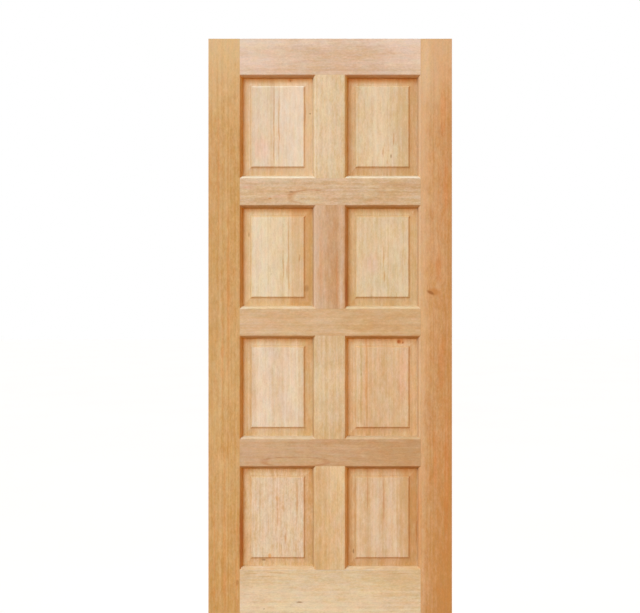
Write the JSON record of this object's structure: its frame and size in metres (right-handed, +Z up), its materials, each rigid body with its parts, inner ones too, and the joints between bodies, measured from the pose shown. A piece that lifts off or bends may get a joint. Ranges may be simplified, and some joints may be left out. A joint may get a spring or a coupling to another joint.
{
  "type": "panelled front door",
  "caption": "Bare timber front door leaf of coped stiles, rails and muntins around raised and fielded panels, ready to be hung, finished and fitted with a lock.",
  "frame": {"origin": "middle of the leaf's bottom edge: middle of its width and of its thickness, at the lowest point", "axes": "+Z up along the stiles; -Y the normal of the outside face; +X towards the lock stile, to the right seen from outside"},
  "size_m": [0.813, 0.04, 2.032],
  "materials": {
    "stile_timber": "planed and sanded, left bare",
    "rail_timber": "planed and sanded, left bare",
    "muntin_timber": "planed and sanded, left bare",
    "panel_timber": "planed and sanded, left bare",
    "dowel_timber": "turned and fluted, left bare"
  },
  "bodies": {
    "root": {"hinge_stile": "stile_timber", "lock_stile": "stile_timber", "top_rail": "rail_timber", "upper_rail": "rail_timber", "lock_rail": "rail_timber", "lower_rail": "rail_timber", "bottom_rail": "rail_timber", "muntin_1": "muntin_timber", "muntin_2": "muntin_timber", "muntin_3": "muntin_timber", "muntin_4": "muntin_timber", "panel_1_left": "panel_timber", "panel_2_left": "panel_timber", "panel_3_left": "panel_timber", "panel_4_left": "panel_timber", "panel_1_right": "panel_timber", "panel_2_right": "panel_timber", "panel_3_right": "panel_timber", "panel_4_right": "panel_timber", "top_rail_dowels": "dowel_timber", "upper_rail_dowels": "dowel_timber", "lock_rail_dowels": "dowel_timber", "lower_rail_dowels": "dowel_timber", "bottom_rail_dowels": "dowel_timber", "muntin_1_dowels": "dowel_timber", "muntin_2_dowels": "dowel_timber", "muntin_3_dowels": "dowel_timber", "muntin_4_dowels": "dowel_timber"}
  },
  "joints": []
}
